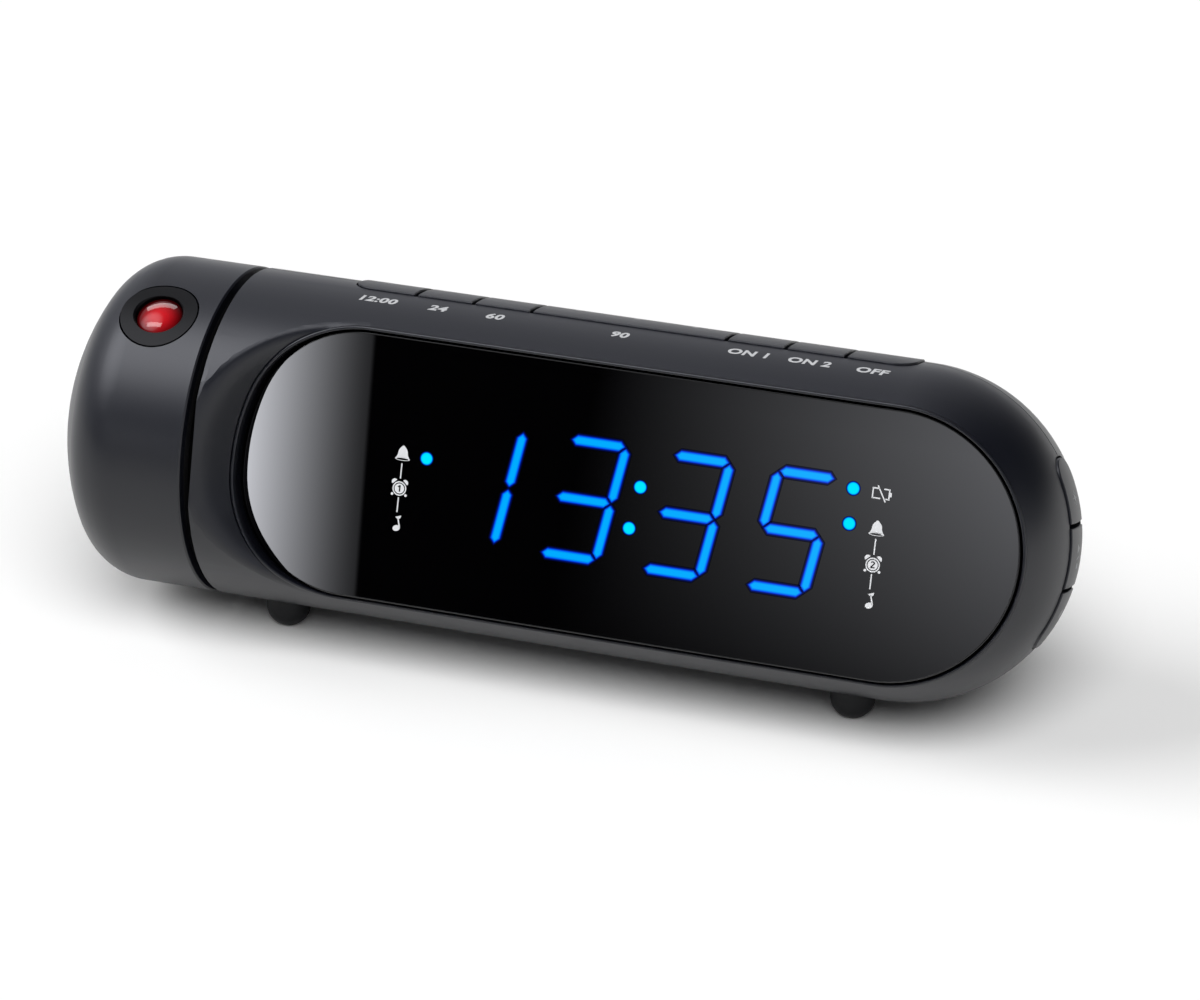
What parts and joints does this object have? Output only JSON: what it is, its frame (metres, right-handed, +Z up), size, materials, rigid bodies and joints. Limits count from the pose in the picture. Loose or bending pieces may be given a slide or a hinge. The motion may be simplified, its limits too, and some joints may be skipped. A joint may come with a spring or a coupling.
{
  "type": "projection alarm clock",
  "caption": "Lying capsule clock with a leaned digital display, a key row on top, keys on its round end and a turning projector head.",
  "frame": {"origin": "on the table plane, under the middle of the clock's bounding box", "axes": "+X along the clock from the projector head to the rounded end, +Y to the back, +Z up"},
  "size_m": [0.2062, 0.066, 0.069],
  "materials": {
    "shell_black": "satin black moulding",
    "key_black": "matte black",
    "window_black": "polished smoked black",
    "gasket": "foam tape",
    "inner_black": "plain black",
    "segment_blue": "lit blue segments",
    "indicator_blue": "diffused indicators",
    "board_green": "green board with solder mask",
    "component_black": "chips and capacitors",
    "screw_steel": "zinc plated",
    "switch_grey": "switch cases",
    "speaker_steel": "pressed steel",
    "speaker_paper": "black paper",
    "washer_black": "low-friction plastic",
    "cell_skin": "plain printed cans",
    "contact_metal": "nickel plated spring plate",
    "head_inner": "acetal",
    "bezel_black": "matte black ring",
    "lens_red": "deep red",
    "glass_clear": "clear",
    "lcd_grey": "liquid-crystal slide",
    "led_board": "white board with one lamp",
    "foot_rubber": "soft dark rubber"
  },
  "bodies": {
    "clock": {"front_shell": "shell_black", "rear_shell": "shell_black", "display_window": "window_black", "window_gasket": "gasket", "display_module": "inner_black", "battery_tray": "inner_black", "power_jack": "inner_black", "display_segments": "segment_blue", "indicator_leds": "indicator_blue", "display_board": "board_green", "main_board": "board_green", "key_board": "board_green", "side_key_board": "board_green", "main_board_parts": "component_black", "board_screws": "screw_steel", "shell_screws": "screw_steel", "key_switches": "switch_grey", "side_key_switches": "switch_grey", "speaker_frame": "speaker_steel", "speaker_magnet": "speaker_steel", "speaker_cone": "speaker_paper", "thrust_washer": "washer_black", "backup_cells": "cell_skin", "battery_contacts": "contact_metal", "foot_left_front": "foot_rubber", "foot_left_back": "foot_rubber", "foot_right_front": "foot_rubber", "foot_right_back": "foot_rubber"},
    "projector_head": {"head_shell": "shell_black", "head_base": "head_inner", "head_screws": "screw_steel", "hub_clip": "head_inner", "lens_bezel": "bezel_black", "projection_lens": "lens_red", "lens_barrel": "inner_black", "light_box": "inner_black", "lcd_panel": "lcd_grey", "condenser_lens": "glass_clear", "projector_led": "led_board"},
    "battery_cover": {"battery_door": "shell_black"},
    "key_time_body": {"key_time": "key_black"},
    "key_hour_body": {"key_hour": "key_black"},
    "key_minute_body": {"key_minute": "key_black"},
    "key_snooze_body": {"key_snooze": "key_black"},
    "key_alarm_1_body": {"key_alarm_1": "key_black"},
    "key_alarm_2_body": {"key_alarm_2": "key_black"},
    "key_alarm_off_body": {"key_alarm_off": "key_black"},
    "key_side_upper_body": {"key_side_upper": "key_black"},
    "key_side_middle_body": {"key_side_middle": "key_black"},
    "key_side_lower_body": {"key_side_lower": "key_black"}
  },
  "joints": [
    {"name": "head_swivel", "type": "hinge", "parent": "clock", "child": "projector_head", "pos_m": [-0.06938, 0, 0.036], "axis": [1, 0, 0], "range_deg": [-114, 66]},
    {"name": "battery_cover_slide", "type": "slide", "parent": "clock", "child": "battery_cover", "axis": [0, 0.6428, -0.766], "range_m": [0, 0.015]},
    {"name": "key_time_press", "type": "slide", "parent": "clock", "child": "key_time_body", "axis": [0, -0.342, -0.9397], "range_m": [0, 0.0008], "stiffness_N_per_m": 1200},
    {"name": "key_hour_press", "type": "slide", "parent": "clock", "child": "key_hour_body", "axis": [0, -0.342, -0.9397], "range_m": [0, 0.0008], "stiffness_N_per_m": 1200},
    {"name": "key_minute_press", "type": "slide", "parent": "clock", "child": "key_minute_body", "axis": [0, -0.342, -0.9397], "range_m": [0, 0.0008], "stiffness_N_per_m": 1200},
    {"name": "key_snooze_press", "type": "slide", "parent": "clock", "child": "key_snooze_body", "axis": [0, -0.342, -0.9397], "range_m": [0, 0.0008], "stiffness_N_per_m": 1200},
    {"name": "key_alarm_1_press", "type": "slide", "parent": "clock", "child": "key_alarm_1_body", "axis": [0, -0.342, -0.9397], "range_m": [0, 0.0008], "stiffness_N_per_m": 1200},
    {"name": "key_alarm_2_press", "type": "slide", "parent": "clock", "child": "key_alarm_2_body", "axis": [0, -0.342, -0.9397], "range_m": [0, 0.0008], "stiffness_N_per_m": 1200},
    {"name": "key_alarm_off_press", "type": "slide", "parent": "clock", "child": "key_alarm_off_body", "axis": [0, -0.342, -0.9397], "range_m": [0, 0.0008], "stiffness_N_per_m": 1200},
    {"name": "key_side_upper_press", "type": "slide", "parent": "clock", "child": "key_side_upper_body", "axis": [-1, 0, 0], "range_m": [0, 0.0008], "stiffness_N_per_m": 1200},
    {"name": "key_side_middle_press", "type": "slide", "parent": "clock", "child": "key_side_middle_body", "axis": [-1, 0, 0], "range_m": [0, 0.0008], "stiffness_N_per_m": 1200},
    {"name": "key_side_lower_press", "type": "slide", "parent": "clock", "child": "key_side_lower_body", "axis": [-1, 0, 0], "range_m": [0, 0.0008], "stiffness_N_per_m": 1200}
  ]
}
